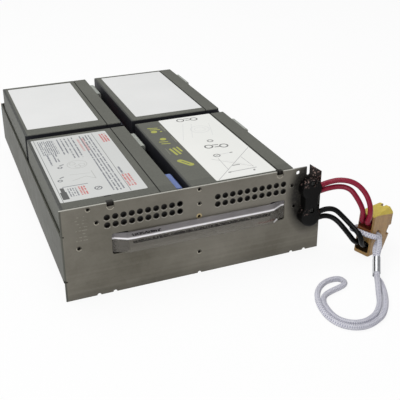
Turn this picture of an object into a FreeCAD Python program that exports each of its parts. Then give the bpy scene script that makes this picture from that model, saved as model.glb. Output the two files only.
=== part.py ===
"""Four-battery cartridge for an uninterruptible power supply: folded steel chassis, four sealed
batteries, wiring, two-pole connector with pull lanyard. Millimetres, +Z up, front plate facing -Y.
The origin is the middle of the object's footprint, level with the front plate's lower edge."""
import FreeCAD, Part
import math
import os
from FreeCAD import Placement, Rotation, Vector

os.makedirs("parts", exist_ok=True)

# ---- Driving dimensions -------------------------------------------------------------------------
# Chassis
sheet = 1.2                 # galvanised sheet
bend_inner = 1.3            # inner radius of every fold
plate_width = 227.0         # front plate, left edge to right edge
plate_height = 81.0
plate_lip = 13.0            # the plate hangs this far below the tray's underside
tray_width = 214.0          # outside of the left wall to outside of the right wall
chassis_depth = 335.0       # front plate's front face to rear wall's rear face
wall_height = 44.5          # side walls, from the tray's underside up
corner_relief = 3.0         # cut-out where three folds meet
# Sealed batteries, lying on their sides with their terminals towards +X
battery_length = 151.0
battery_width = 94.0
battery_height = 65.0
lid_depth = 14.2            # share of the width that the lid takes
case_radius = 1.6
seam_groove = 0.9
battery_side_gap = 0.6      # left wall to battery
battery_front_gap = 2.4     # plate's front face to battery, room for the strip's tails
wiring_gap = 10.8           # between the left and the right column
cross_gap = 10.4            # between the front and the rear row
foam_thickness = 1.8        # pads between tray floor and batteries
# Terminals and their insulating boots
tab_width = 6.35
tab_thickness = 0.8
tab_proud = 5.6             # tab above the lid's face
tab_sunk = 3.0              # depth of the well that it stands in
tab_end_distance = 22.0     # tab to the battery's end
tab_drop = 12.0             # tab below the battery's upper face
boot_proud = 6.6
boot_rise = 9.2             # tall boots' upper face above the tab
boot_fall = 2.5             # and their lower face below it
fit = 0.3                   # running clearance round seated pieces
# Labels
label_thickness = 0.15
label_recess = 0.25
# Vents in the front plate
vent_diameter = 4.3
vent_pitch = 6.7
vents_per_row = 10
vent_rows = 2
vent_row_height = 61.7      # lower row, above the plate's lower edge
vent_group_start = 16.5     # innermost hole to the plate's middle
# Pull strip
strip_thickness = 0.7
strip_height = 17.0
strip_bottom = 35.6         # above the plate's lower edge
strip_crease = 12.6         # lower facet, above which the strip leans back to the plate
strip_stand_off = 4.0
strip_lean_stand_off = 1.5
slot_width = 14.0
strip_middle = 2.5          # the strip's middle, right of the plate's middle
slot_offset = 69.3          # slot's middle to the strip's middle
slot_clearance = 0.9
# Twin cable clamp
clamp_depth = 9.0
clamp_radius = 9.4
clamp_pitch = 25.5
clamp_web = 13.0
clamp_from_right = 12.6     # lobes' middle to the plate's right edge
clamp_upper_height = 61.9
clamp_screw_rise = 6.4      # screw above its lobe's middle
clamp_screw_seat = 6.4      # thickness left under the screw head
screw_radius = 1.25
screw_head_radius = 2.0
screw_head_height = 1.7
nut_across = 5.6            # over the corners
clinch_height = 54.0        # brass nut in the plate's middle
clinch_radius = 2.4
# Wiring
wire_diameter = 4.6
wire_upper = 1.0            # upper wire of a pair, above its lobe's middle
wire_lower = -4.1
wire_ahead = 4.6            # wires' axes, in front of the plate
elbow_radius = 3.3          # of each wire inside the clamp
# Connector: length along the mating direction, height from pole to pole
connector_length = 31.0
connector_thickness = 15.5
connector_height = 39.0
connector_pole_pitch = 22.0
connector_foot = (140.1, -191.9, 2.0)    # cable face's middle at the foot
connector_attitude = (20.9, 4.2, 1.5)    # turned, nose down, leaning
nose_cut = 10.0             # the mating face runs back by this at the foot
nose_cut_height = 22.0
pocket_depth = 7.5
pocket_height = 10.4
pocket_width = 13.2
mouth_depth = 10.0
lanyard_hole_depth = 10.5   # lanyard's hole, behind the cable face
# Lanyard
cord_diameter = 4.6
cord_spacing = 5.0          # between the two strands in the sleeve
cord_stand_off = 3.2        # cord's axis to the housing that it goes round
sleeve_length = 14.5
sleeve_wall = 0.5
sleeve_foot = (131.6, -228.4, 5.0)
sleeve_direction = (0.457, 0.743, 0.486)
sleeve_turn = 95.0          # its two lanes lie one above the other

# ---- Places that follow from them ---------------------------------------------------------------
bend_outer = bend_inner + sheet
left = -plate_width / 2
right = plate_width / 2
front = -(chassis_depth + clamp_depth) / 2 + clamp_depth
rear = front + chassis_depth
tray_right = left + tray_width
floor_under = plate_lip
floor_top = floor_under + sheet
wall_top = floor_under + wall_height
battery_bottom = floor_top + foam_thickness
battery_top = battery_bottom + battery_height
column_x = {
    "left": left + sheet + battery_side_gap,
    "right": left + sheet + battery_side_gap + battery_width + wiring_gap,
}
row_y = {
    "front": front + battery_front_gap,
    "rear": front + battery_front_gap + battery_length + cross_gap,
}
tab_z = battery_top - tab_drop
clamp_x = right - clamp_from_right
lobe_z = {"upper": clamp_upper_height, "lower": clamp_upper_height - clamp_pitch}
wire_hole_x = left + 209.9
wire_join_x = wire_hole_x + 7.4
X, Y, Z = Vector(1, 0, 0), Vector(0, 1, 0), Vector(0, 0, 1)


# ---- Small tools --------------------------------------------------------------------------------
def export(shape, node):
    shape.exportStep(f"parts/{node}.step")
    print(f"{node}: {len(shape.Solids)} solid(s), {shape.Volume / 1000:.2f} cm3, valid {shape.isValid()}")


def block(x0, x1, y0, y1, z0, z1):
    return Part.makeBox(x1 - x0, y1 - y0, z1 - z0, Vector(x0, y0, z0))


def edges_along(shape, direction, test=lambda middle: True):
    """The straight edges of a shape that run along a direction and pass a test on their middle."""
    found = []
    for edge in shape.Edges:
        if edge.Curve.TypeId != "Part::GeomLine":
            continue
        if edge.tangentAt(edge.FirstParameter).cross(direction).Length < 1e-6:
            if test(edge.CenterOfMass):
                found.append(edge)
    return found


def rounded(shape, radius, direction, test=lambda middle: True):
    return shape.makeFillet(radius, edges_along(shape, direction, test))


def quarter_bend(centre, start_angle, axis_length):
    """A quarter of a folded corner, in plan, standing on z = centre.z."""
    outer = Part.makeCylinder(bend_outer, axis_length, centre, Z, 90)
    inner = Part.makeCylinder(bend_inner, axis_length, centre, Z, 90)
    bend = outer.cut(inner)
    bend.rotate(centre, Z, start_angle)
    return bend


def slot_outline(half_length, radius):
    """An upright oblong in the XZ plane, half length between its end centres."""
    edges = [
        Part.LineSegment(Vector(radius, 0, -half_length), Vector(radius, 0, half_length)).toShape(),
        Part.Arc(Vector(radius, 0, half_length), Vector(0, 0, half_length + radius),
                 Vector(-radius, 0, half_length)).toShape(),
        Part.LineSegment(Vector(-radius, 0, half_length), Vector(-radius, 0, -half_length)).toShape(),
        Part.Arc(Vector(-radius, 0, -half_length), Vector(0, 0, -half_length - radius),
                 Vector(radius, 0, -half_length)).toShape(),
    ]
    return Part.Wire(edges)


def slot_prism(half_length, radius, depth):
    return Part.Face(slot_outline(half_length, radius)).extrude(Y * depth)


def route_wire(points, limits=None):
    """Straight runs joined by tangent arcs, each as large as its two runs or its limit allow."""
    points = [Vector(*p) for p in points]
    limits = limits or {}
    edges = []
    radii = []
    start = points[0]
    for index in range(1, len(points) - 1):
        into = points[index] - points[index - 1]
        out = points[index + 1] - points[index]
        half_turn = into.getAngle(out) / 2
        radius = 0.45 * min(into.Length, out.Length) / math.tan(half_turn)
        radius = min(radius, limits.get(index, radius))
        setback = radius * math.tan(half_turn)
        into.normalize()
        out.normalize()
        inward = (out - into).normalize()
        arc_start = points[index] - into * setback
        arc_end = points[index] + out * setback
        middle = points[index] + inward * (radius / math.cos(half_turn) - radius)
        edges.append(Part.LineSegment(start, arc_start).toShape())
        edges.append(Part.Arc(arc_start, middle, arc_end).toShape())
        radii.append(radius)
        start = arc_end
    edges.append(Part.LineSegment(start, points[-1]).toShape())
    return Part.Wire(edges), radii


def make_tube(node, points, diameter, limits=None):
    """A round cord or wire along a route, with its length and arcs printed."""
    path, radii = route_wire(points, limits)
    start = Vector(*points[0])
    ring = Part.Wire(Part.makeCircle(diameter / 2, start, Vector(*points[1]) - start))
    solid = Part.Solid(path.makePipeShell([ring], True, True))
    swept = math.pi * diameter ** 2 / 4 * path.Length
    print(f"    length {path.Length:.1f}, volume over section x length {solid.Volume / swept:.4f}")
    print("    radii " + ", ".join(f"{radius:.1f}" for radius in radii))
    export(solid, node)


# ---- Chassis: one blank, folded into floor, walls and front plate -------------------------------
def plate_outline():
    """The front plate's outline: a straight plate with a notched, chamfered ear at its upper right."""
    notch_middle = tray_right - sheet / 2 + 0.5
    notch_radius = 1.6
    notch_bottom = plate_height - 8.0 + notch_radius
    ear_peak = plate_height + 1.5
    ear_shoulder = plate_height - 6.6
    notch_left = notch_middle - notch_radius
    notch_right = notch_middle + notch_radius

    def at(x, z):
        return Vector(x, front, z)

    corners = [
        at(notch_left, notch_bottom), at(notch_left, plate_height), at(left, plate_height),
        at(left, 0), at(right, 0), at(right, ear_shoulder), at(notch_right, ear_peak),
        at(notch_right, notch_bottom),
    ]
    edges = [Part.LineSegment(a, b).toShape() for a, b in zip(corners, corners[1:])]
    bottom = at(notch_middle, notch_bottom - notch_radius)
    edges.append(Part.Arc(corners[-1], bottom, corners[0]).toShape())
    return Part.Face(Part.Wire(edges))


def plate_cuts():
    """Every hole, slot and notch in the front plate, as one list of cutting bodies."""
    cuts = []
    through = 3 * sheet

    def hole(x, z, diameter):
        cuts.append(Part.makeCylinder(diameter / 2, through, Vector(x, front - sheet, z), Y))

    for side in (-1, 1):
        for row in range(vent_rows):
            for column in range(vents_per_row):
                hole(side * (vent_group_start + column * vent_pitch),
                     vent_row_height + row * vent_pitch, vent_diameter)
        slot_half = strip_height / 2 + slot_clearance
        cut = block(-slot_width / 2, slot_width / 2, 0, through, -slot_half, slot_half)
        cut = rounded(cut, 2.0, Y)
        slot_x = strip_middle + side * slot_offset
        cut.translate(Vector(slot_x, front - sheet, strip_bottom + strip_height / 2))
        cuts.append(cut)
        notch = block(-3, 3, 0, through, -3.6, 3)
        notch = rounded(notch, 0.8, Y)
        notch.translate(Vector(side * 73.4, front - sheet, plate_height))
        cuts.append(notch)
    tooling_holes = [
        (left + 22.2, plate_height - 3.0, 2.8), (left + 204.0, plate_height - 4.2, 3.6),
        (left + 28.3, 65.6, 3.0), (left + 198.5, 65.6, 3.0),
        (left + 13.3, 45.8, 3.0), (left + 201.2, 45.8, 3.0),
        (0.4, plate_height - 2.8, 2.8), (0.4, 65.3, 2.8), (0, 20.4, 2.8),
    ]
    for x, z, diameter in tooling_holes:
        hole(x, z, diameter)
    hole(0, clinch_height, 2 * clinch_radius + 0.1)
    for offset in (26.7, 40.0, plate_width / 2, 200.6, 213.4):
        hole(left + offset, 0, 3.2)
    for lobe in lobe_z.values():
        hole(clamp_x, lobe + clamp_screw_rise, 2 * screw_radius + 0.3)
        wires = slot_prism((wire_upper - wire_lower) / 2, wire_diameter / 2 + fit + 0.2, through)
        wires.translate(Vector(wire_hole_x, front - sheet, lobe + (wire_upper + wire_lower) / 2))
        cuts.append(wires)
    return cuts


def make_chassis():
    plate = plate_outline().extrude(Vector(0, sheet, 0))
    # Left corner: the plate turns into the left wall, with a relief above and below the fold.
    fold_bottom = floor_under + bend_outer + corner_relief
    plate = plate.cut(block(left - 1, left + bend_outer, front - 1, front + 2 * sheet,
                            fold_bottom - 1.2, wall_top + 1.2))
    left_bend = quarter_bend(Vector(left + bend_outer, front + bend_outer, fold_bottom), 180,
                             wall_top - fold_bottom)
    # Floor and both walls as one channel.
    outer = block(left, tray_right, front + bend_outer, rear, floor_under, wall_top)
    outer = rounded(outer, bend_outer, Y, lambda m: m.z < floor_under + 1)
    inner = block(left + sheet, tray_right - sheet, front + bend_outer, rear, floor_top, wall_top + 5)
    inner = rounded(inner, bend_inner, Y, lambda m: m.z < floor_top + 1)
    channel = outer.cut(inner)
    # The floor runs forward to the plate between the two corner reliefs.
    tongue = block(left + bend_outer + corner_relief, tray_right - bend_outer - corner_relief,
                   front + sheet + fit, front + bend_outer, floor_under, floor_top)
    relief_end = front + bend_outer + corner_relief
    for side in (left, tray_right - bend_outer - corner_relief):
        channel = channel.cut(block(side, side + bend_outer + corner_relief, front, relief_end,
                                    floor_under - 1, floor_under + bend_outer + corner_relief))
    # Right wall: its front edge turns out behind the ear and is welded to the plate's back.
    flange_bottom = floor_under + bend_outer + corner_relief
    flange_height = wall_top - flange_bottom
    bend_centre = Vector(tray_right + bend_inner, front + 2 * sheet + bend_inner, flange_bottom)
    right_bend = quarter_bend(bend_centre, 180, flange_height)
    flange = block(bend_centre.x, right - 1.5, front + sheet, front + 2 * sheet,
                   flange_bottom, wall_top)
    channel = channel.cut(block(tray_right - sheet - 0.1, tray_right + 0.1, front,
                                bend_centre.y, floor_under - 1, wall_top + 1))
    # Rear wall, folded up between the side walls.
    rear_left = left + bend_outer + corner_relief
    rear_right = tray_right - bend_outer - corner_relief
    channel = channel.cut(block(rear_left, rear_right, rear - bend_outer, rear + 1,
                                floor_under - 1, floor_top + 1))
    for side in (left + sheet, tray_right - bend_outer - corner_relief):
        channel = channel.cut(block(side, side + bend_outer + corner_relief - sheet, rear - bend_outer,
                                    rear + 1, floor_under - 1, floor_top + bend_inner))
    rear_wall = block(left + sheet + fit, tray_right - sheet - fit, rear - sheet, rear,
                      floor_under + bend_outer + corner_relief, wall_top)
    rear_root = block(rear_left, rear_right, rear - sheet, rear, floor_under + bend_outer,
                      floor_under + bend_outer + corner_relief)
    rear_bend = quarter_bend(Vector(0, 0, 0), 0, rear_right - rear_left)
    rear_bend.rotate(Vector(0, 0, 0), Y, 90)
    rear_bend.translate(Vector(rear_left, rear - bend_outer, floor_under + bend_outer))
    body = plate.fuse([left_bend, channel, tongue, right_bend, flange, rear_wall, rear_root, rear_bend])
    body = body.cut(Part.makeCompound(plate_cuts()))
    # Room for the clamp's nuts behind the plate, through the weld flange and the wall's fold.
    for lobe in lobe_z.values():
        behind = Vector(clamp_x, front + sheet, lobe + clamp_screw_rise)
        body = body.cut(Part.makeCylinder(nut_across / 2 + 0.7, 6.5, behind, Y))
    return body.removeSplitter()


# ---- Batteries ----------------------------------------------------------------------------------
def make_battery(column, row):
    """Case, lid, terminal tabs and vent cover of one sealed battery."""
    x0 = column_x[column]
    y0 = row_y[row]
    x_seam = x0 + battery_width - lid_depth
    x1 = x0 + battery_width
    y1 = y0 + battery_length
    middle_y = (y0 + y1) / 2
    whole = block(x0, x1, y0, y1, battery_bottom, battery_top)
    whole = rounded(whole, case_radius, X)
    whole = whole.makeFillet(case_radius * 0.6, [e for e in whole.Edges if e.BoundBox.XMax < x0 + 1e-3])
    whole = whole.makeFillet(0.5, [e for e in whole.Edges if e.BoundBox.XMin > x1 - 1e-3])
    ring_outer = block(x_seam - seam_groove / 2, x_seam + seam_groove / 2, y0 - 1, y1 + 1,
                       battery_bottom - 1, battery_top + 1)
    ring_inner = block(x_seam - 1, x_seam + 1, y0 + seam_groove, y1 - seam_groove,
                       battery_bottom + seam_groove, battery_top - seam_groove)
    whole = whole.cut(ring_outer.cut(ring_inner))
    label_x0, label_x1, label_y0, label_y1 = label_area(column, row)
    whole = whole.cut(block(label_x0 - fit, label_x1 + fit, label_y0 - fit, label_y1 + fit,
                            battery_top - label_recess, battery_top + 1))
    half = block(x0 - 1, x_seam, y0 - 1, y1 + 1, battery_bottom - 1, battery_top + 1)
    case = whole.common(half)
    lid = whole.cut(half)
    tabs = []
    for tab_y in (y0 + tab_end_distance, y1 - tab_end_distance):
        well = block(x1 - tab_sunk, x1 + 1, tab_y - 6.0, tab_y + 6.0, tab_z - 4.5, tab_z + 4.5)
        lid = lid.cut(rounded(well, 1.5, X))
        tab = block(x1 - tab_sunk, x1 + tab_proud, tab_y - tab_width / 2, tab_y + tab_width / 2,
                    tab_z - tab_thickness / 2, tab_z + tab_thickness / 2)
        tab = rounded(tab, 1.4, Z, lambda m: m.x > x1)
        tabs.append(tab.cut(Part.makeCylinder(1.1, 4, Vector(x1 + tab_proud - 2.4, tab_y, tab_z - 2), Z)))
    cover_length = 84.0
    cover_height = 22.0
    cover_z = battery_bottom + battery_height * 0.46
    seat = block(x1 - 1.4, x1 + 1, middle_y - cover_length / 2, middle_y + cover_length / 2,
                 cover_z - cover_height / 2, cover_z + cover_height / 2)
    lid = lid.cut(rounded(seat, 3.0, X))
    cover = block(x1 - 1.4, x1 + 0.4, middle_y - cover_length / 2 + fit, middle_y + cover_length / 2 - fit,
                  cover_z - cover_height / 2 + fit, cover_z + cover_height / 2 - fit)
    cover = rounded(cover, 3.0 - fit, X)
    for step in range(-2, 3):
        slit = block(x1 - 0.2, x1 + 1, middle_y + 14 * step - 4, middle_y + 14 * step + 4,
                     cover_z - 0.6, cover_z + 0.6)
        cover = cover.cut(slit)
    name = f"{row}_{column}"
    export(case, f"battery_case_{name}")
    export(lid, f"battery_lid_{name}")
    export(Part.makeCompound(tabs), f"terminals_{name}")
    export(cover, f"vent_cover_{name}")


def label_area(column, row):
    """The label on a battery's upper face: x from, x to, y from, y to."""
    x0 = column_x[column]
    y0 = row_y[row]
    margins = {
        ("left", "front"): (2.6, 73.2, 10.8, 5.8),
        ("left", "rear"): (4.8, 74.8, 14.2, 6.6),
        ("right", "front"): (24.0, 78.6, 1.6, 1.0),
        ("right", "rear"): (7.2, 78.8, 8.2, 5.0),
    }
    from_left, to_right, from_front, from_rear = margins[(column, row)]
    return x0 + from_left, x0 + to_right, y0 + from_front, y0 + battery_length - from_rear


def make_label(column, row):
    x0, x1, y0, y1 = label_area(column, row)
    z0 = battery_top - label_recess
    label = block(x0, x1, y0, y1, z0, z0 + label_thickness)
    export(rounded(label, 1.5, Z), f"battery_label_{row}_{column}")


def make_foam_pad(column, row):
    x0 = column_x[column] + 12
    y0 = row_y[row] + 10
    pad = block(x0, x0 + battery_width - 24, y0, y0 + battery_length - 20, floor_top, battery_bottom)
    export(rounded(pad, 3.0, Z), f"foam_pad_{row}_{column}")


def make_spacer(column, height):
    """Foam block that keeps the front and the rear battery of a column apart."""
    gap_start = row_y["front"] + battery_length
    x0 = column_x[column] + 8
    spacer = block(x0, x0 + battery_width - 20, gap_start + fit, gap_start + cross_gap - fit,
                   floor_top, floor_top + height)
    export(rounded(spacer, 2.0, X, lambda m: m.z > floor_top + 1), f"spacer_pad_{column}")


def make_boot(node, lid_face, y0, y1, z0, z1, tab_y):
    """Insulating boot over one terminal: rounded shell with a pocket for the tab."""
    boot = block(lid_face, lid_face + boot_proud, y0, y1, z0, z1)
    boot = rounded(boot, 2.4, Y, lambda m: m.x > lid_face + 1)
    boot = rounded(boot, 1.0, X)
    pocket = block(lid_face - 1, lid_face + tab_proud + fit, tab_y - tab_width / 2 - fit,
                   tab_y + tab_width / 2 + fit, tab_z - tab_thickness / 2 - fit,
                   tab_z + tab_thickness / 2 + fit)
    export(boot.cut(pocket), node)


# ---- Pull strip: clear film, threaded through the plate's two slots ------------------------------
def strip_section(z, stand_off):
    """The strip's closed outline on plan at one height: behind the plate, out, across and back."""
    half = strip_thickness / 2
    behind = front + sheet + half + fit
    ahead = front - stand_off
    inner_edge = slot_offset - slot_width / 2 - 3.0
    ramp_end = slot_offset - slot_width / 2 + 2.0
    ramp_start = slot_offset + slot_width / 2 - 2.6
    tail = slot_offset + slot_width / 2 + 8.0
    side = [(tail, behind), (ramp_start, behind), (ramp_end, ahead + 0.5), (inner_edge, ahead)]
    line = [(strip_middle - x, y) for x, y in side] + [(strip_middle + x, y) for x, y in reversed(side)]
    front_side = []
    back_side = []
    for index, (x, y) in enumerate(line):
        x_from, y_from = line[max(index - 1, 0)]
        x_to, y_to = line[min(index + 1, len(line) - 1)]
        across = Vector(y_to - y_from, x_from - x_to, 0).normalize() * half
        front_side.append(Vector(x + across.x, y + across.y, z))
        back_side.append(Vector(x - across.x, y - across.y, z))
    outline = front_side + back_side[::-1]
    return Part.makePolygon(outline + outline[:1])


def make_pull_strip():
    crease_z = strip_bottom + strip_crease
    lower = Part.Face(strip_section(strip_bottom, strip_stand_off)).extrude(Vector(0, 0, strip_crease))
    upper = Part.makeLoft([
        strip_section(crease_z, strip_stand_off),
        strip_section(strip_bottom + strip_height, strip_lean_stand_off),
    ], True, True)
    export(lower.fuse(upper).removeSplitter(), "pull_strip")


# ---- Cable clamp with its screws ------------------------------------------------------------------
def make_clamp():
    """Moulded clamp with two lobes: each holds one pair of wires and takes one screw."""
    body = block(clamp_x - clamp_web / 2, clamp_x + clamp_web / 2, front - clamp_depth, front,
                 lobe_z["lower"], lobe_z["upper"])
    for lobe in lobe_z.values():
        body = body.fuse(Part.makeCylinder(clamp_radius, clamp_depth,
                                           Vector(clamp_x, front, lobe), Y * -1))
    body = body.removeSplitter()
    rim = [e for e in body.Edges if e.BoundBox.YMax < front - clamp_depth + 1e-3]
    body = body.makeFillet(2.2, rim)
    for lobe in lobe_z.values():
        screw_at = Vector(clamp_x, front, lobe + clamp_screw_rise)
        body = body.cut(Part.makeCylinder(screw_radius + 0.15, clamp_depth, screw_at, Y * -1))
        seat_at = screw_at - Y * clamp_screw_seat
        body = body.cut(Part.makeCylinder(screw_head_radius + fit, clamp_depth, seat_at, Y * -1))
        body = body.cut(wire_pair_way(lobe))
    for route in outer_wires.values():
        body = body.cut(wire_mouth(route))
    export(body, "cable_clamp")


def wire_pair_way(lobe):
    """The bent way of a pair of wires through the clamp: in at its back, out at its right side."""
    middle = lobe + (wire_upper + wire_lower) / 2
    half = (wire_upper - wire_lower) / 2
    bore = wire_diameter / 2 + fit
    corner = Vector(wire_hole_x, front - wire_ahead, middle)
    entry = slot_prism(half, bore, 2 + wire_ahead - elbow_radius)
    entry.translate(corner + Y * elbow_radius)
    section = Part.Face(slot_outline(half, bore))
    section.translate(corner + Y * elbow_radius)
    elbow = section.revolve(corner + Y * elbow_radius + X * elbow_radius, Z, 90)
    run = slot_prism(half, bore, wire_join_x - wire_hole_x - elbow_radius + 1)
    run.rotate(Vector(0, 0, 0), Z, -90)
    run.translate(corner + X * elbow_radius)
    return [entry, elbow, run]


def wire_mouth(points):
    """Where one wire leaves the clamp: a straight bore that opens along the wire's first bend."""
    bore = wire_diameter / 2 + fit
    start, turn, after = (Vector(*p) for p in points[:3])
    outward = (after - turn).normalize()
    return [
        Part.makeCylinder(bore, (turn - start).Length, start, turn - start),
        Part.makeSphere(bore, turn),
        Part.makeCylinder(bore, clamp_radius, turn, outward),
    ]


def make_screws():
    screws = []
    nuts = []
    for lobe in lobe_z.values():
        seat = Vector(clamp_x, front - clamp_screw_seat, lobe + clamp_screw_rise)
        head = Part.makeCylinder(screw_head_radius, screw_head_height, seat, Y * -1)
        head = head.makeFillet(0.7, [e for e in head.Edges if e.BoundBox.YMax < seat.y - 1e-3])
        cross = block(-1.4, 1.4, -1, 0, -0.25, 0.25).fuse(block(-0.25, 0.25, -1, 0, -1.4, 1.4))
        cross.translate(Vector(seat.x, seat.y - screw_head_height + 0.8, seat.z))
        shank_length = clamp_screw_seat + 2 * sheet + 3.0
        screw = head.cut(cross).fuse(Part.makeCylinder(screw_radius, shank_length, seat, Y))
        screws.append(screw.removeSplitter())
        nut_face = Vector(seat.x, front + sheet, seat.z)
        nut = Part.Face(Part.makePolygon([
            nut_face + Rotation(Y, 60 * k).multVec(X * (nut_across / 2)) for k in range(7)
        ])).extrude(Vector(0, 2.2, 0))
        nuts.append(nut.cut(Part.makeCylinder(screw_radius + 0.02, 6, nut_face - Y, Y)))
    export(Part.makeCompound(screws), "clamp_screws")
    export(Part.makeCompound(nuts), "clamp_nuts")


def make_clinch_nut():
    """Brass nut pressed into the plate's middle: flush in front, collar behind."""
    barrel = Part.makeCylinder(clinch_radius, sheet, Vector(0, front, clinch_height), Y)
    collar = Part.makeCylinder(clinch_radius + 1.4, 1.8, Vector(0, front + sheet, clinch_height), Y)
    collar = collar.common(block(-10, 10, front, front + battery_front_gap - 0.02,
                                 clinch_height - 10, clinch_height + 10))
    bore = Part.makeCylinder(1.3, 6, Vector(0, front - 1, clinch_height), Y)
    export(barrel.fuse(collar).cut(bore).removeSplitter(), "clinch_nut")


# ---- Wiring: routes of every wire's axis ---------------------------------------------------------
def in_connector(along, across, up):
    """A point from the connector's own axes: mating direction, towards the near side, pole to pole."""
    return connector_place.multVec(Vector(along, -across, up))


def boot_face(column, row, end):
    """Y of the face where a wire leaves a battery's boot: inner end of the boot at that end."""
    y0 = row_y[row]
    y1 = y0 + battery_length
    if end == "rear":
        return y1 - boot_rear_span[1] if row == "rear" else y1 - boot_rear_span[0]
    return y0 + (boot_lead_span[1] if row == "front" else boot_front_span[0])


connector_place = Placement(Vector(*connector_foot), Rotation(*connector_attitude))
pole_low = (connector_height - connector_pole_pitch) / 2
pole_high = pole_low + connector_pole_pitch
boot_rear_span = (16.0, 48.0)      # from the battery's rear end
boot_front_span = (12.0, 32.0)     # from its front end
boot_lead_span = (4.3, 33.0)       # the front left battery's longer boot
lead_z = battery_top - 11.0
left_lead_x = column_x["left"] + battery_width + 3.8
right_lead_x = column_x["right"] + battery_width + 3.8
aisle_x = column_x["left"] + battery_width + wiring_gap / 2
cross_y = row_y["front"] + battery_length + cross_gap / 2
wall_x = wire_hole_x
elbow_y = front - wire_ahead
wire_z = {(name, offset): lobe_z[name] + offset for name in lobe_z for offset in (wire_upper, wire_lower)}
inner_wires = {
    "lead_black_left": ([
        (left_lead_x, boot_face("left", "front", "front"), lead_z),
        (left_lead_x, front + 46, lead_z),
        (aisle_x, front + 66, 52), (aisle_x - 0.6, front + 104, 47), (aisle_x, cross_y, 48),
        (aisle_x + 52, cross_y + 0.5, 46.5), (wall_x, cross_y, 48),
        (wall_x - 0.6, front + 108, 45), (wall_x, front + 62, 43),
        (wall_x, front + 26, wire_z["lower", wire_upper]), (wall_x, elbow_y, wire_z["lower", wire_upper]),
        (wire_join_x, elbow_y, wire_z["lower", wire_upper]),
    ], {4: 10.0, 6: 14.0, 10: elbow_radius}),
    "lead_red_left": ([
        (left_lead_x, boot_face("left", "rear", "rear"), lead_z),
        (left_lead_x, front + 254, lead_z),
        (aisle_x, front + 234, 56), (aisle_x - 0.6, front + 196, 54), (aisle_x, cross_y, 55.5),
        (aisle_x + 52, cross_y - 0.5, 54), (wall_x, cross_y, 55.5),
        (wall_x - 0.6, front + 108, 54), (wall_x, front + 62, 55),
        (wall_x, front + 26, wire_z["upper", wire_lower]), (wall_x, elbow_y, wire_z["upper", wire_lower]),
        (wire_join_x, elbow_y, wire_z["upper", wire_lower]),
    ], {4: 10.0, 6: 14.0, 10: elbow_radius}),
    "lead_red_right": ([
        (right_lead_x, boot_face("right", "rear", "rear"), lead_z),
        (right_lead_x, front + 254, lead_z),
        (wall_x - 1.2, front + 234, 61), (wall_x, front + 200, 60.6), (wall_x - 0.5, front + 160, 61.6),
        (wall_x, front + 112, 60.8), (wall_x - 0.4, front + 66, 61.4),
        (wall_x, front + 22, wire_z["upper", wire_upper]), (wall_x, elbow_y, wire_z["upper", wire_upper]),
        (wire_join_x, elbow_y, wire_z["upper", wire_upper]),
    ], {8: elbow_radius}),
    "lead_black_right": ([
        (right_lead_x, row_y["front"] + 22, tab_z - 5.5),
        (right_lead_x, row_y["front"] + 22, 50), (right_lead_x + 0.3, row_y["front"] + 21, 33.5),
        (wall_x, front + 12, wire_z["lower", wire_lower]), (wall_x, elbow_y, wire_z["lower", wire_lower]),
        (wire_join_x, elbow_y, wire_z["lower", wire_lower]),
    ], {4: elbow_radius}),
}
first_bend_x = left + 221.2


def outer_wire(lobe, offset, points, across, pole):
    """An outer wire: out of the clamp, along its free points, into its pocket of the connector."""
    z = lobe_z[lobe] + offset
    route = [(wire_join_x, elbow_y, z), (first_bend_x, elbow_y, z)]
    route += [(left + x, front + y, z_free) for x, y, z_free in points]
    route += [tuple(in_connector(-3.2, across, pole)), tuple(in_connector(pocket_depth, across, pole))]
    return route


outer_wires = {
    "cable_red_1": outer_wire("upper", wire_upper, [
        (229.5, -6.6, 66.2), (238.7, -11.5, 69.3), (248.4, -18.5, 68.2), (254.3, -26.0, 62.0),
        (256.3, -33.0, 52.5), (255.2, -36.0, 42.2),
    ], 2.7, pole_high),
    "cable_red_2": outer_wire("upper", wire_lower, [
        (230.5, -6.6, 60.6), (240.4, -11.0, 62.6), (246.4, -17.0, 61.2), (249.0, -22.6, 55.8),
        (251.6, -27.6, 48.6), (252.7, -29.7, 41.6),
    ], -2.7, pole_high),
    "cable_black_1": outer_wire("lower", wire_upper, [
        (229.5, -6.8, 41.0), (236.5, -10.5, 40.8), (241.6, -15.5, 34.9), (245.1, -22.0, 30.1),
        (247.2, -36.0, 25.6),
    ], 2.7, pole_low),
    "cable_black_2": outer_wire("lower", wire_lower, [
        (229.5, -6.6, 34.4), (236.5, -12.0, 32.4), (241.4, -23.0, 24.4),
    ], -2.7, pole_low),
}


# ---- Connector ------------------------------------------------------------------------------------
def shoulder_wedge():
    """What the housing's near upper edge loses: a chamfer that widens towards the mating face."""
    near = -connector_thickness / 2
    corners = [
        Vector(4, near, connector_height), Vector(connector_length, near, connector_height - 5),
        Vector(connector_length, near + 5, connector_height),
    ]
    middle = (corners[0] + corners[1] + corners[2]) / 3
    corners = [middle + (corner - middle) * 1.8 for corner in corners]
    outward = (corners[1] - corners[0]).cross(corners[2] - corners[0]).normalize()
    return Part.Face(Part.makePolygon(corners + corners[:1])).extrude(outward * 8)


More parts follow.
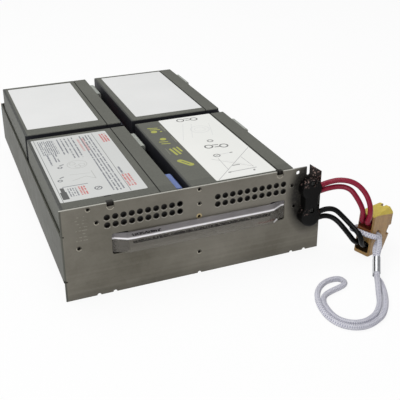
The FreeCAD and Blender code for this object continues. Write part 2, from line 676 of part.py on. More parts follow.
def make_connector():
    """Two-pole housing: a wire pocket, a contact channel and a mating mouth for each pole."""
    half = connector_thickness / 2
    body = block(0, connector_length, -half, half, 0, connector_height)
    body = rounded(body, 2.0, Z)
    rims = [e for e in body.Edges if e.BoundBox.ZMin > connector_height - 0.01 or e.BoundBox.ZMax < 0.01]
    body = body.makeFillet(1.0, rims)
    nose_wedge = Part.Face(Part.makePolygon([
        Vector(connector_length, -half - 1, nose_cut_height),
        Vector(connector_length - nose_cut, -half - 1, 0),
        Vector(connector_length - nose_cut, -half - 1, -1),
        Vector(connector_length + 1, -half - 1, -1),
        Vector(connector_length + 1, -half - 1, nose_cut_height),
        Vector(connector_length, -half - 1, nose_cut_height),
    ])).extrude(Vector(0, connector_thickness + 2, 0))
    body = body.cut(nose_wedge)
    body = body.cut(shoulder_wedge())
    for pole in (pole_low, pole_high):
        pocket = block(-1, pocket_depth + fit, -pocket_width / 2, pocket_width / 2,
                       pole - pocket_height / 2, pole + pocket_height / 2)
        body = body.cut(rounded(pocket, 1.8, X))
        body = body.cut(block(pocket_depth - 0.5, connector_length - mouth_depth + 0.5, -5.6, 5.6,
                              pole - 3.1, pole + 3.1))
        mouth = block(connector_length - mouth_depth, connector_length + 2, -5.6, 5.6,
                      pole - 4.7, pole + 4.7)
        body = body.cut(rounded(mouth, 1.2, X))
    middle = connector_height / 2
    hole = Part.makeCylinder(cord_diameter / 2 + 0.9, connector_thickness + 4,
                             Vector(lanyard_hole_depth, -half - 2, middle), Y)
    body = body.cut(hole)
    for side in (-1, 1):
        flare = Part.makeCone(cord_diameter / 2 + 0.9, cord_diameter / 2 + 2.1, 1.2,
                              Vector(lanyard_hole_depth, side * (half - 1.2), middle), Y * side)
        body = body.cut(flare)
    keyway = block(connector_length - 5.5, connector_length + 1, 0.5, 3.9,
                   connector_height - 3.2, connector_height + 1)
    body = body.cut(rounded(keyway, 1.2, Z, lambda m: m.x < connector_length))
    tongue_slot = block(connector_length - 8, connector_length + 1, -half - 1, -half + 2.4,
                        middle - 4.2, middle + 4.2)
    body = body.cut(rounded(tongue_slot, 1.0, X, lambda m: m.y > -half))
    body.Placement = connector_place
    export(body, "connector_housing")
    for pole, node in ((pole_high, "contact_positive"), (pole_low, "contact_negative")):
        barrel = block(pocket_depth, pocket_depth + 7, -5.3, 5.3, pole - 2.7, pole + 2.7)
        barrel = rounded(barrel, 2.2, X)
        blade = block(pocket_depth + 6, connector_length - 8.5, 3.0, 5.2, pole - 2.7, pole + 2.7)
        blade = rounded(blade, 0.8, Y, lambda m: m.x > connector_length - 9)
        contact = barrel.fuse(blade).removeSplitter()
        contact.Placement = connector_place
        export(contact, node)


# ---- Lanyard: one cord, folded double, its ends and both strands held by a crimped sleeve ---------
def sleeve_axes():
    """The sleeve's own axis and the direction from its upper lane to its lower lane."""
    axis = Vector(*sleeve_direction).normalize()
    return axis, Rotation(axis, sleeve_turn).multVec(axis.cross(Z).normalize())


def sleeve_point(along, strand):
    """A point on one of the sleeve's two lanes; strand is -1 for the upper lane, 1 for the lower."""
    axis, across = sleeve_axes()
    return Vector(*sleeve_foot) + axis * along + across * (strand * cord_spacing / 2)


def lanyard_route():
    """From inside the sleeve, round the floor loop, back up, round the housing, into the sleeve."""
    floor_z = cord_diameter / 2 + 0.2
    outward = [
        (244.3, -72.6, 2.5), (241.0, -81.1, 2.5), (237.3, -88.9, 2.5), (233.0, -96.2, 2.5),
        (226.4, -105.2, 2.5), (218.8, -112.5, 2.5), (209.6, -116.8, 2.5), (201.0, -118.8, 2.5),
        (192.8, -117.6, 2.5), (185.6, -113.0, 2.5), (180.7, -104.5, 2.5), (179.3, -93.2, 2.5),
        (181.6, -80.6, 2.5), (185.8, -70.8, 2.5), (191.1, -63.5, 2.5), (197.8, -57.9, 2.5),
        (206.4, -54.6, 2.5), (216.2, -55.8, 2.5),
    ]
    homeward = [
        (217.0, -64.4, 2.5), (208.4, -67.4, 2.5), (200.2, -69.6, 2.5), (192.8, -72.9, 2.5),
        (188.2, -78.9, 2.5), (185.6, -86.0, 2.5), (184.8, -94.0, 2.5), (186.2, -101.2, 2.5),
        (190.2, -107.2, 2.5), (196.8, -111.0, 2.5), (204.8, -111.5, 2.5), (213.2, -108.4, 2.5),
        (221.3, -101.6, 2.5), (227.2, -93.8, 2.5), (231.6, -85.2, 3.2), (235.0, -78.8, 5.4),
        (239.4, -73.6, 6.8),
    ]
    hold = cord_stand_off + connector_thickness / 2
    middle = connector_height / 2
    points = [sleeve_point(5, 1), sleeve_point(-1.5, 1)]
    points += [Vector(left + x, front + y, max(z, floor_z)) for x, y, z in outward + homeward]
    points += [
        sleeve_point(-1.5, -1), sleeve_point(sleeve_length + 2.5, -1),
        in_connector(-cord_stand_off, hold, middle + 1.5), in_connector(-cord_stand_off, -hold, middle + 2),
        in_connector(lanyard_hole_depth, -hold, middle), in_connector(lanyard_hole_depth, hold, middle),
        sleeve_point(sleeve_length + 2.5, 1), sleeve_point(5.3, 1),
    ]
    return [tuple(p) for p in points]


def make_lanyard():
    route = lanyard_route()
    turn_at = len(route) - 6
    limits = {corner: 5.0 for corner in range(turn_at, turn_at + 4)}
    limits.update({1: 5.5, turn_at - 2: 5.5, turn_at - 1: 9.0, turn_at + 4: 9.0})
    make_tube("lanyard", route, cord_diameter, limits)
    bore = cord_diameter / 2 + 0.15
    outer = slot_prism(cord_spacing / 2, bore + sleeve_wall, sleeve_length)
    inner = slot_prism(cord_spacing / 2, bore, sleeve_length)
    sleeve = outer.cut(inner)
    axis, across = sleeve_axes()
    sleeve.Placement = Placement(Vector(*sleeve_foot), Rotation(Vector(0, 0, 0), axis, across, "ZYX"))
    export(sleeve, "crimp_sleeve")


# ---- Build ----------------------------------------------------------------------------------------
export(make_chassis(), "chassis")
for column in ("left", "right"):
    for row in ("front", "rear"):
        make_battery(column, row)
        make_label(column, row)
        make_foam_pad(column, row)
        face = column_x[column] + battery_width
        battery_front = row_y[row]
        battery_rear = battery_front + battery_length
        make_boot(f"boot_rear_{row}_{column}", face, battery_rear - boot_rear_span[1],
                  battery_rear - boot_rear_span[0], tab_z - boot_fall, tab_z + boot_rise,
                  battery_rear - tab_end_distance)
        if (column, row) == ("left", "front"):
            make_boot("boot_front_front_left", face, battery_front + boot_lead_span[0],
                      battery_front + boot_lead_span[1], tab_z - boot_fall, tab_z + boot_rise + 1.3,
                      battery_front + tab_end_distance)
        else:
            make_boot(f"boot_front_{row}_{column}", face, battery_front + boot_front_span[0],
                      battery_front + boot_front_span[1], tab_z - 5.5, tab_z + 4.5,
                      battery_front + tab_end_distance)
make_spacer("left", 45.8)
make_spacer("right", 25.8)
make_pull_strip()
make_clamp()
make_screws()
make_clinch_nut()
for side, lead_x in (("left", left_lead_x), ("right", right_lead_x)):
    link_start = row_y["front"] + battery_length - boot_rear_span[0]
    link_end = row_y["rear"] + boot_front_span[0]
    link = Part.makeCylinder(wire_diameter / 2, link_end - link_start, Vector(lead_x, link_start, lead_z), Y)
    export(link, f"series_link_{side}")
for node, (route, limits) in inner_wires.items():
    make_tube(node, route, wire_diameter, limits)
for node, route in outer_wires.items():
    make_tube(node, route, wire_diameter)
make_connector()
make_lanyard()
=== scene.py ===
import math
import bmesh
import bpy
from mathutils import Euler, Matrix, Vector


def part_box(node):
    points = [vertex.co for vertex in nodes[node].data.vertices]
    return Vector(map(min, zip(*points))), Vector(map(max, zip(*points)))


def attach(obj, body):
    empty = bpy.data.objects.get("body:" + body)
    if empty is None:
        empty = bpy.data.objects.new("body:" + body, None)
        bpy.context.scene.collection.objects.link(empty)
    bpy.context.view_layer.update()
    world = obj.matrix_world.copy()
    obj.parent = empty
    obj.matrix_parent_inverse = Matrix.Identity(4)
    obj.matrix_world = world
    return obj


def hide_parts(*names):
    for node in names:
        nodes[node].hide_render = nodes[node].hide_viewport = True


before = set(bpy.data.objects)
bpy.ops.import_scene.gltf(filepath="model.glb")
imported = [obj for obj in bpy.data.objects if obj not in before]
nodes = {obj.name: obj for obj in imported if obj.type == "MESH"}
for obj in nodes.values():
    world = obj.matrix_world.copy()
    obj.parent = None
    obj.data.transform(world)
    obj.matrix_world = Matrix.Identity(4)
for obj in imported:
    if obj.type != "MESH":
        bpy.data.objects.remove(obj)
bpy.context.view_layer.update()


# ---- Camera -----------------------------------------------------------------------------------
# A long lens looks down at the front plate from the front left, a little above the batteries.
# It stands about 0.74 m from the tray's middle, and its frame is shifted down to centre the cartridge.
camera_place = (-0.19196, -0.64931, 0.33669)
camera_data = bpy.data.cameras.new("camera")
camera_data.sensor_width = 36.0
camera_data.lens = 65.2
camera_data.shift_y = -0.125
camera = bpy.data.objects.new("camera", camera_data)
bpy.context.scene.collection.objects.link(camera)
bpy.context.scene.camera = camera
bpy.context.scene.view_settings.view_transform = "Standard"
turn = math.radians(21.65)
drop = math.radians(23.19)
tilt = math.radians(-0.365)
ahead = Vector((math.sin(turn) * math.cos(drop), math.cos(turn) * math.cos(drop), -math.sin(drop)))
level = Vector((math.cos(turn), -math.sin(turn), 0))
upward = level.cross(ahead)
across = level * math.cos(tilt) + upward * math.sin(tilt)
over = upward * math.cos(tilt) - level * math.sin(tilt)
attitude = Matrix((across, over, -ahead)).transposed().to_4x4()
camera.matrix_world = Matrix.Translation(camera_place) @ attitude


# ---- Pull lanyard -----------------------------------------------------------------------------
# A braided white cord, folded double into a loop and crimped in a bright sleeve. Both strands go
# round the web of the connector's housing, so that a hand in the loop pulls the two halves apart.
def display(red, green, blue):
    """A colour as it shows on a screen, turned into the linear values that a shader works with."""
    return tuple((c / 12.92 if c <= 0.04045 else ((c + 0.055) / 1.055) ** 2.4)
                 for c in (red / 255, green / 255, blue / 255)) + (1.0,)


class Wire:
    """A node's output that can be added, multiplied and compared."""

    def __init__(self, finish, socket):
        self.finish = finish
        self.socket = socket

    def maths(self, operation, *values, clamp=False):
        inputs = dict(enumerate(values))
        return self.finish.node("ShaderNodeMath", {"operation": operation, "use_clamp": clamp}, inputs)

    def __add__(self, other):
        return self.maths("ADD", self, other)

    def __sub__(self, other):
        return self.maths("SUBTRACT", self, other)

    def __mul__(self, other):
        return self.maths("MULTIPLY", self, other)

    def __truediv__(self, other):
        return self.maths("DIVIDE", self, other)

    def __mod__(self, other):
        return self.maths("FLOORED_MODULO", self, other)

    def __gt__(self, other):
        return self.maths("GREATER_THAN", self, other)

    def __lt__(self, other):
        return self.maths("LESS_THAN", self, other)

    def __rsub__(self, other):
        return self.maths("SUBTRACT", other, self)

    def __rtruediv__(self, other):
        return self.maths("DIVIDE", other, self)

    def __abs__(self):
        return self.maths("ABSOLUTE", self)

    __radd__ = __add__
    __rmul__ = __mul__

    def root(self):
        return self.maths("SQRT", self)

    def clipped(self):
        return self.maths("ADD", self, 0.0, clamp=True)

    def at_most(self, other):
        return self.maths("MINIMUM", self, other)

    def at_least(self, other):
        return self.maths("MAXIMUM", self, other)


class Finish:
    """One surface finish: a Principled shader and the nodes that vary it."""

    def __init__(self, name, constants):
        self.material = bpy.data.materials.new(name)
        self.material.use_nodes = True
        self.tree = self.material.node_tree
        self.shader = next(n for n in self.tree.nodes if n.type == "BSDF_PRINCIPLED")
        for label, value in constants.items():
            self.shader.inputs[label].default_value = value

    def node(self, kind, settings=None, inputs=None, output=0):
        """A node with its settings and its sockets' values or links; gives one of its outputs."""
        made = self.tree.nodes.new(kind)
        for label, value in (settings or {}).items():
            setattr(made, label, value)
        for label, value in (inputs or {}).items():
            if isinstance(value, Wire):
                self.tree.links.new(value.socket, made.inputs[label])
            else:
                made.inputs[label].default_value = value
        return Wire(self, made.outputs[output])

    def split(self, vector):
        """The three parts of a vector or a colour."""
        first = self.node("ShaderNodeSeparateXYZ", None, {0: vector})
        return [Wire(self, part) for part in first.socket.node.outputs]

    def place(self):
        """A point of the surface in metres, in the object's own frame, and its X, Y and Z."""
        point = self.node("ShaderNodeTexCoord", output="Object")
        return point, self.split(point)

    def noise(self, point, scale, detail=3.0, roughness=0.5):
        return self.node("ShaderNodeTexNoise", None, {
            "Vector": point, "Scale": scale, "Detail": detail, "Roughness": roughness}, "Fac")

    def blend(self, factor, first, second):
        return self.node("ShaderNodeMix", {"data_type": "RGBA"}, {0: factor, 6: first, 7: second}, 2)

    def feed(self, label, wire):
        self.tree.links.new(wire.socket, self.shader.inputs[label])

    def relief(self, height, distance, strength=1.0):
        self.feed("Normal", self.node("ShaderNodeBump", None, {
            "Strength": strength, "Distance": distance, "Height": height}, "Normal"))


def dress(piece, finish):
    """Gives a piece this finish all over."""
    piece.data.materials.clear()
    piece.data.materials.append(finish.material)
    for face in getattr(piece.data, "polygons", []):
        face.material_index = 0


def soft_line(name, route, diameter, finish):
    """A round cord or wire along a smooth line through a route's control points, in metres."""
    line = bpy.data.curves.new(name, "CURVE")
    line.dimensions = "3D"
    line.resolution_u = 12
    line.bevel_depth = diameter / 2
    line.bevel_resolution = 5
    line.use_fill_caps = True
    spline = line.splines.new("NURBS")
    spline.points.add(len(route) - 1)
    for point, place in zip(spline.points, route):
        point.co = (*place, 1.0)
    spline.order_u = 3
    spline.use_endpoint_u = True
    piece = bpy.data.objects.new(name, line)
    bpy.context.scene.collection.objects.link(piece)
    line.materials.append(finish.material)
    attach(piece, "root")
    return piece


cord_thick = 0.0046
plaits = 270.0
cord_finish = Finish("braided_cord", {"Roughness": 0.8, "Sheen Weight": 0.25, "Specular IOR Level": 0.3})
uv = cord_finish.node("ShaderNodeTexCoord", output="UV")
along, round_it, _ = cord_finish.split(uv)
left_lay = (along * plaits + round_it * 3.0) % 1.0
right_lay = (along * plaits - round_it * 3.0) % 1.0
strand = abs(left_lay - 0.5).at_least(abs(right_lay - 0.5)) * 2.0
cord_soil = cord_finish.noise(cord_finish.place()[0], 60.0)
# Painted shade: the braid is light on the plaits' crests and darker, bluish grey, in the hollows between
# them.
cord_finish.feed("Base Color", cord_finish.blend(
    (strand * 1.2 + cord_soil * 0.5 - 0.60).clipped(), display(160, 160, 180), display(242, 242, 247)))
cord_finish.relief(strand, 0.0006, 0.9)
lanyard_route = [
    (0.1343, -0.2235, 0.0053), (0.1314, -0.2284, 0.0024), (0.1308, -0.2356, 0.0025),
    (0.1275, -0.2441, 0.0025), (0.1238, -0.2519, 0.0025), (0.1195, -0.2592, 0.0025),
    (0.1129, -0.2682, 0.0025), (0.1053, -0.2755, 0.0025), (0.0961, -0.2798, 0.0025),
    (0.0875, -0.2818, 0.0025), (0.0793, -0.2806, 0.0025), (0.0721, -0.2760, 0.0025),
    (0.0672, -0.2675, 0.0025), (0.0658, -0.2562, 0.0025), (0.0681, -0.2436, 0.0025),
    (0.0723, -0.2338, 0.0025), (0.0776, -0.2265, 0.0025), (0.0843, -0.2209, 0.0025),
    (0.0929, -0.2176, 0.0025), (0.1027, -0.2188, 0.0025), (0.1035, -0.2274, 0.0025),
    (0.0949, -0.2304, 0.0025), (0.0860, -0.2322, 0.0025), (0.0777, -0.2355, 0.0025),
    (0.0730, -0.2421, 0.0025), (0.0711, -0.2490, 0.0025), (0.0704, -0.2572, 0.0025),
    (0.0713, -0.2651, 0.0025), (0.0755, -0.2720, 0.0025), (0.0830, -0.2761, 0.0025),
    (0.0917, -0.2761, 0.0025), (0.1003, -0.2727, 0.0025), (0.1088, -0.2657, 0.0025),
    (0.1149, -0.2577, 0.0025), (0.1196, -0.2490, 0.0034), (0.1234, -0.2424, 0.0058),
    (0.1264, -0.2368, 0.0070), (0.1305, -0.2307, 0.0064), (0.1389, -0.2169, 0.0154),
    (0.1446, -0.2118, 0.0190), (0.1486, -0.2050, 0.0236), (0.1424, -0.2032, 0.0250),
    (0.1364, -0.1872, 0.0240),
    (0.1349, -0.1828, 0.0240), (0.1383, -0.1815, 0.0233), (0.1446, -0.1790, 0.0216),
    (0.1475, -0.1779, 0.0210), (0.1489, -0.1816, 0.0209), (0.1539, -0.1946, 0.0205),
    (0.1541, -0.1992, 0.0196), (0.1440, -0.2062, 0.0150), (0.1398, -0.2146, 0.0111),
    (0.1345, -0.2233, 0.0054),
]
lanyard = soft_line("lanyard_cord", lanyard_route, cord_thick, cord_finish)
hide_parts("lanyard")


# ---- Outer wires ------------------------------------------------------------------------------
# Two red and two black stranded wires in PVC leave the clamp and end in the connector's pockets.
# They hang free between the two, stiff enough to hold an arch over the bench.
wire_thick = 0.0046


def wire_finish(name, colour, dust, gloss):
    """Smooth PVC with faint dust and the soft gloss of extruded insulation."""
    finish = Finish(name, {"Roughness": 0.3, "Specular IOR Level": gloss})
    point, (x, y, z) = finish.place()
    smear = finish.noise(point, 140.0, 4.0)
    finish.feed("Base Color", finish.blend((smear * 0.6 - 0.15).clipped(), colour, dust))
    finish.feed("Roughness", 0.18 + smear * 0.2)
    finish.relief(finish.noise(point, 900.0, 1.0), 0.00004, 0.5)
    return finish


red_pvc = wire_finish("red_pvc", display(128, 10, 42), display(154, 36, 64), 0.3)
black_pvc = wire_finish("black_pvc", display(5, 5, 6), display(16, 16, 17), 0.16)
outer_wires = {
    "cable_red_1": [
        (0.1038, -0.1676, 0.0629), (0.1077, -0.1676, 0.0629), (0.1160, -0.1696, 0.0662),
        (0.1252, -0.1745, 0.0693), (0.1349, -0.1815, 0.0682), (0.1408, -0.1890, 0.0620),
        (0.1428, -0.1960, 0.0525), (0.1417, -0.1990, 0.0422), (0.1404, -0.1955, 0.0326),
        (0.1504, -0.1917, 0.0318)],
    "cable_red_2": [
        (0.1038, -0.1676, 0.0578), (0.1077, -0.1676, 0.0578), (0.1170, -0.1696, 0.0606),
        (0.1269, -0.1740, 0.0626), (0.1329, -0.1800, 0.0612), (0.1355, -0.1856, 0.0558),
        (0.1381, -0.1906, 0.0486), (0.1392, -0.1927, 0.0416), (0.1385, -0.1905, 0.0327),
        (0.1485, -0.1867, 0.0319)],
    "cable_black_1": [
        (0.1038, -0.1676, 0.0374), (0.1077, -0.1676, 0.0374), (0.1160, -0.1698, 0.0410),
        (0.1230, -0.1735, 0.0408), (0.1281, -0.1785, 0.0349), (0.1316, -0.1850, 0.0301),
        (0.1337, -0.1990, 0.0256), (0.1387, -0.1955, 0.0106), (0.1487, -0.1917, 0.0099)],
    "cable_black_2": [
        (0.1038, -0.1676, 0.0323), (0.1077, -0.1676, 0.0323), (0.1160, -0.1696, 0.0344),
        (0.1230, -0.1750, 0.0324), (0.1279, -0.1860, 0.0244), (0.1368, -0.1905, 0.0108),
        (0.1468, -0.1867, 0.0100)],
}
for name, route in outer_wires.items():
    finish = red_pvc if "red" in name else black_pvc
    wire = soft_line("outer_" + name, route, wire_thick, finish)
    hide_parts(name)


# ---- Folded steel chassis ---------------------------------------------------------------------
# Floor, walls and front plate are one blank of galvanised sheet, punched and then folded.
# Its zinc is dull, with faint spangle, drawn streaks along the plate and a painted highlight along the top
# cut edge.
def within(value, low, high):
    """One where a value lies between two limits, nought elsewhere."""
    return (value > low) * (value < high)


def from_spot(x, y, spot_x, spot_y):
    """Distance from a spot of a flat surface."""
    gap_x = x - spot_x
    gap_y = y - spot_y
    return (gap_x * gap_x + gap_y * gap_y).root()


def field(x, y, left, right, near, far):
    """One inside a rectangle of a flat surface, nought elsewhere."""
    return within(x, left, right) * within(y, near, far)


mm = 1000.0                 # millimetres in a metre
face_depth = 0.0014         # a little more than the sheet: what lies within it is the outer face
vent_pitch = 6.7            # in millimetres, as are the places and sizes of all holes below
vent_start = 16.5           # innermost hole to the plate's middle
vent_row = 61.7             # lower row above the plate's lower edge
vent_mouth = 2.62           # radius of the dark mouth
rim_width = 0.6             # bright and dark rims of the other holes
punched = [                 # each hole's place across and up the plate, and its radius
    (-91.3, 78.0, 1.5), (-85.2, 65.6, 1.6), (-100.2, 45.8, 1.6), (0.4, 78.2, 1.5), (0.4, 65.3, 1.5),
    (0.0, 20.4, 1.5), (85.0, 65.6, 1.6), (87.7, 45.8, 1.6), (-73.4, 77.8, 2.6), (73.4, 77.8, 2.6),
]
steel = Finish("galvanised_steel", {"Metallic": 0.5, "Roughness": 0.5})
point, (x, y, z) = steel.place()
chassis_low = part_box("chassis")[0]
in_front = y < chassis_low.y + face_depth
left_wall_shade = x < chassis_low.x + face_depth
spangle = steel.node("ShaderNodeTexVoronoi", {"feature": "F1"}, {"Vector": point, "Scale": 130.0}, "Color")
flake = steel.split(spangle)[0]
cloud = steel.noise(point, 11.0, 5.0, 0.6)
grain = steel.noise(point, 520.0, 2.0)
stretched = steel.node("ShaderNodeCombineXYZ", None, {0: x * 5.0, 1: y * 5.0, 2: z * 300.0})
low_part = ((0.036 - z) * 40.0).clipped()
streaks = (steel.noise(stretched, 1.0, 3.0) - 0.5) * (low_part * 0.7 + 0.15)
tone = (cloud * 2.2 - 0.74 + flake * 0.12 + grain * 0.16 + streaks).clipped()
zinc = steel.blend(tone, display(93, 89, 78), display(135, 131, 121))
# Painted light: a soft, lighter pool across the middle of the front plate.
pool_of_light = ((0.042 - from_spot(x * 0.4, z, 0.004, 0.062)) * 24.0).clipped() * in_front
zinc = steel.blend(pool_of_light * 0.26, zinc, display(152, 148, 140))
foot_shade = ((0.007 - z) * 120.0).clipped()
zinc = steel.blend(foot_shade * 0.35, zinc, display(52, 52, 48))
# Painted shade: the left wall's outer face is darkened.
zinc = steel.blend(left_wall_shade * 0.8, zinc, display(78, 80, 73))
half_pitch = vent_pitch / 2
hole_x = (abs(x) * mm - vent_start + half_pitch) % vent_pitch - half_pitch
hole_z = (z * mm - vent_row + half_pitch) % vent_pitch - half_pitch
# Painted shade and highlight: each vent hole gets a dark mouth wider than the hole, and a light crescent on
# the rim below it.
vents = field(abs(x) * mm, z * mm, 13.2, 80.1, 58.4, 71.7) * in_front
from_vent = from_spot(hole_x, hole_z, 0.0, 0.1)
zinc = steel.blend(vents * (from_vent < vent_mouth) * 0.9, zinc, display(24, 21, 18))
vent_rim_highlight = vents * within(from_vent, vent_mouth, 3.3) * (hole_z < -1.7)
zinc = steel.blend(vent_rim_highlight * 0.4, zinc, display(196, 192, 182))
# Painted highlight on each hole's lit rim and painted shade on the opposite rim.
for hole, height, radius in punched:
    near = from_spot(x * mm, z * mm, hole, height)
    rim = within(near, radius, radius + rim_width) * in_front
    lit_side = (x * mm - hole) * 0.5 < height - z * mm
    zinc = steel.blend(rim * lit_side * 0.5, zinc, display(206, 200, 184))
    zinc = steel.blend(rim * (1.0 - lit_side) * 0.6, zinc, display(36, 30, 22))
stamped = field(x, z, -0.1020, -0.0926, 0.0517, 0.0746) * in_front
strokes = (((z * mm) % 2.9) < 0.8) * (steel.noise(point, 420.0) > 0.5)
zinc = steel.blend(stamped * strokes * 0.36, zinc, display(168, 164, 152))
# Painted highlight: a light line along the front plate's top cut edge.
top_edge_highlight = within(z, 0.08065, 0.0812) * in_front
zinc = steel.blend(top_edge_highlight * 0.75, zinc, display(205, 204, 196))
# Painted shadow: a dark, grainy halo round the clamp on the plate.
from_clamp = from_spot(x, z * 0.62, 0.1035, 0.0335)
clamp_shadow = ((0.0245 - from_clamp) * 130.0).clipped() * in_front
zinc = steel.blend(clamp_shadow * (0.66 + grain * 0.5).at_most(0.96), zinc, display(26, 24, 22))
# The ear right of the clamp is speckled dark brown, and its outer part carries pale pink specks of painted
# highlight.
ear = (x > 0.1012) * (z > 0.0655) * in_front
ear_dark_speckle = ear * (steel.noise(point, 300.0, 4.0, 0.7) > 0.44)
zinc = steel.blend(ear_dark_speckle * 0.86, zinc, display(34, 26, 24))
ear_glints = ear * (x > 0.1035) * (steel.noise(point, 480.0, 2.0, 0.6) > 0.60)
zinc = steel.blend(ear_glints * 0.65, zinc, display(196, 170, 160))
steel.feed("Base Color", zinc)
steel.feed("Roughness", 0.4 + cloud * 0.24 + flake * 0.06)
steel.relief(grain + flake * 0.4, 0.00004, 0.5)
dress(nodes["chassis"], steel)


# ---- Foam pads --------------------------------------------------------------------------------
# Closed-cell sponge strips lie under each battery and fill the gap between the two rows.
# They are cut from sheet and held by their own adhesive.
def dress_nodes(beginnings, finish):
    """Gives this finish to every node whose name begins so."""
    for name, piece in nodes.items():
        if name.startswith(beginnings):
            dress(piece, finish)


sponge = Finish("sponge", {"Roughness": 0.95, "Specular IOR Level": 0.2})
point, _ = sponge.place()
cells = sponge.node("ShaderNodeTexVoronoi", {"feature": "F1"}, {"Vector": point, "Scale": 1400.0}, "Distance")
sponge.feed("Base Color", sponge.blend(cells.clipped(), display(20, 21, 27), display(40, 41, 48)))
sponge.relief(cells, 0.0002, 0.6)
dress_nodes(("foam_pad", "spacer_pad"), sponge)


# ---- Sealed batteries -------------------------------------------------------------------------
# Each is a dark grey-green moulded case with a lid heat-sealed on at a fine groove.
# The upper faces are dusty; the walls inside the gaps and behind the plate are painted near black as shade.
def ring(x, y, centre_x, centre_y, radius, width):
    """A circle's line, with the radius of its middle and its width."""
    return abs(from_spot(x, y, centre_x, centre_y) - radius) < width / 2


def stroke(x, y, start, end, width):
    """A straight bar with round ends, from one spot of a flat surface to another."""
    step_x = end[0] - start[0]
    step_y = end[1] - start[1]
    forward = (x - start[0]) * step_x + (y - start[1]) * step_y
    share = (forward / (step_x ** 2 + step_y ** 2)).clipped()
    return from_spot(x - share * step_x, y - share * step_y, *start) < width / 2


def drawing(x, y, bars=(), rings=(), dots=()):
    """Marks in one: bars from spot to spot with a width, rings with radius and width, and dots."""
    marks = [stroke(x, y, *bar) for bar in bars]
    marks += [ring(x, y, *circle) for circle in rings]
    marks += [from_spot(x, y, across, along) < radius for across, along, radius in dots]
    whole = marks[0]
    for mark in marks[1:]:
        whole = whole.at_least(mark)
    return whole


def metal(name, metallic, roughness, grain, low, high):
    """Bare metal whose tone wanders between two colours."""
    finish = Finish(name, {"Metallic": metallic, "Roughness": roughness})
    point, _ = finish.place()
    finish.feed("Base Color", finish.blend(finish.noise(point, grain), low, high))
    return finish


def battery_finish(name):
    """The case's plastic, its colour, and the place: X and Y in millimetres, Z in metres."""
    finish = Finish(name, {"Roughness": 0.55, "Specular IOR Level": 0.4})
    point, (x, y, z) = finish.place()
    cloud = finish.noise(point, 14.0, 4.0)
    speckle = finish.noise(point, 620.0, 3.0, 0.65)
    plastic = finish.blend(
        (cloud * 0.6 + speckle * 1.1 - 0.4).clipped(), display(82, 83, 76), display(110, 111, 103))
    # Painted shade: below the top face, the walls along the aisle, across the middle gap and behind the plate
    # are darkened to near black.
    depth = ((0.0805 - z) / 0.0009).clipped()
    aisle = within(x, -0.0182, -0.0050)
    crossing = within(y, -0.0102, 0.0020)
    shaded_behind_plate = y < -0.1592
    on_top = z > 0.0790
    plastic = finish.blend(depth * aisle.at_least(crossing) * 0.93, plastic, display(22, 23, 33))
    plastic = finish.blend(depth * shaded_behind_plate * 0.95, plastic, display(12, 10, 9))
    seams = within(x, -0.03245, -0.03135).at_least(within(x, 0.07235, 0.07345))
    plastic = finish.blend(seams * on_top * 0.8, plastic, display(40, 41, 39))
    brinks = within(x, -0.1120, -0.1094).at_least(within(x, -0.0072, -0.0052)) * (z > 0.0792)
    plastic = finish.blend(brinks * 0.6, plastic, display(48, 50, 52))
    flank = (x < -0.1112) * (z < 0.0794)
    plastic = finish.blend(flank * (0.25 + cloud * 0.35), plastic, display(62, 65, 52))
    near_plate = within(y, -0.1600, -0.1500) * on_top
    plastic = finish.blend(near_plate * 0.22, plastic, display(60, 60, 56))
    # Painted shade: a dark patch on the front battery's top for a small notch not modelled, and dark where
    # the plate's notches show the battery.
    notch_shade = within(abs(x + 0.0726), -0.0001, 0.0027) * within(y, -0.1522, -0.1496)
    shade_behind_notches = within(abs(x), 0.0706, 0.0762) * (y < -0.1583)
    plastic = finish.blend(notch_shade.at_least(shade_behind_notches) * 0.85, plastic, display(30, 26, 23))
    finish.feed("Roughness", 0.46 + speckle * 0.2)
    finish.relief(speckle, 0.00008, 0.6)
    return finish, plastic, x * mm, y * mm, z


plain, plastic, *_ = battery_finish("battery_plastic")
plain.feed("Base Color", plastic)
marked, plastic, x, y, z = battery_finish("marked_battery_plastic")
lime = drawing(x, y, bars=[
    ((2.4, -31.0), (10.6, -33.2), 1.7), ((1.4, -26.8), (9.6, -28.8), 1.7),
    ((10.4, -38.8), (10.8, -38.4), 2.0), ((0.9, -63.2), (7.8, -64.8), 1.6),
    ((1.6, -68.0), (8.4, -69.6), 1.6), ((4.2, -82.4), (5.8, -96.4), 2.1),
    ((7.8, -81.4), (9.4, -95.4), 2.1), ((11.4, -80.4), (12.4, -90.4), 1.8),
], dots=[(4.0, -37.2, 3.1), (6.0, -57.6, 3.0)])
vein = stroke(x, y, (4.6, -111.4), (8.6, -119.0), 1.1)
leaf = stroke(x, y, (3.6, -110.0), (9.6, -120.4), 5.6) * (1.0 - vein)
upper_face = within(z, 0.0803, 0.0820)
worn = (0.82 + marked.noise(marked.place()[0], 900.0) * 0.3).clipped()
plastic = marked.blend(lime.at_least(leaf) * upper_face * worn, plastic, display(172, 174, 84))
faint = drawing(x, y, bars=[
    ((14.6, -24.6), (14.6, -39.0), 1.4), ((15.2, -54.0), (15.2, -69.0), 0.9),
    ((0.6, -80.0), (0.6, -93.6), 0.8),
])
marked.feed("Base Color", marked.blend(faint * upper_face * 0.35, plastic, display(160, 162, 140)))
dress_nodes(("battery_case", "battery_lid", "vent_cover"), plain)
dress(nodes["battery_case_front_right"], marked)
tin = metal("tinned_brass", 1.0, 0.3, 300.0, display(190, 188, 180), display(222, 220, 214))
dress_nodes("terminals", tin)


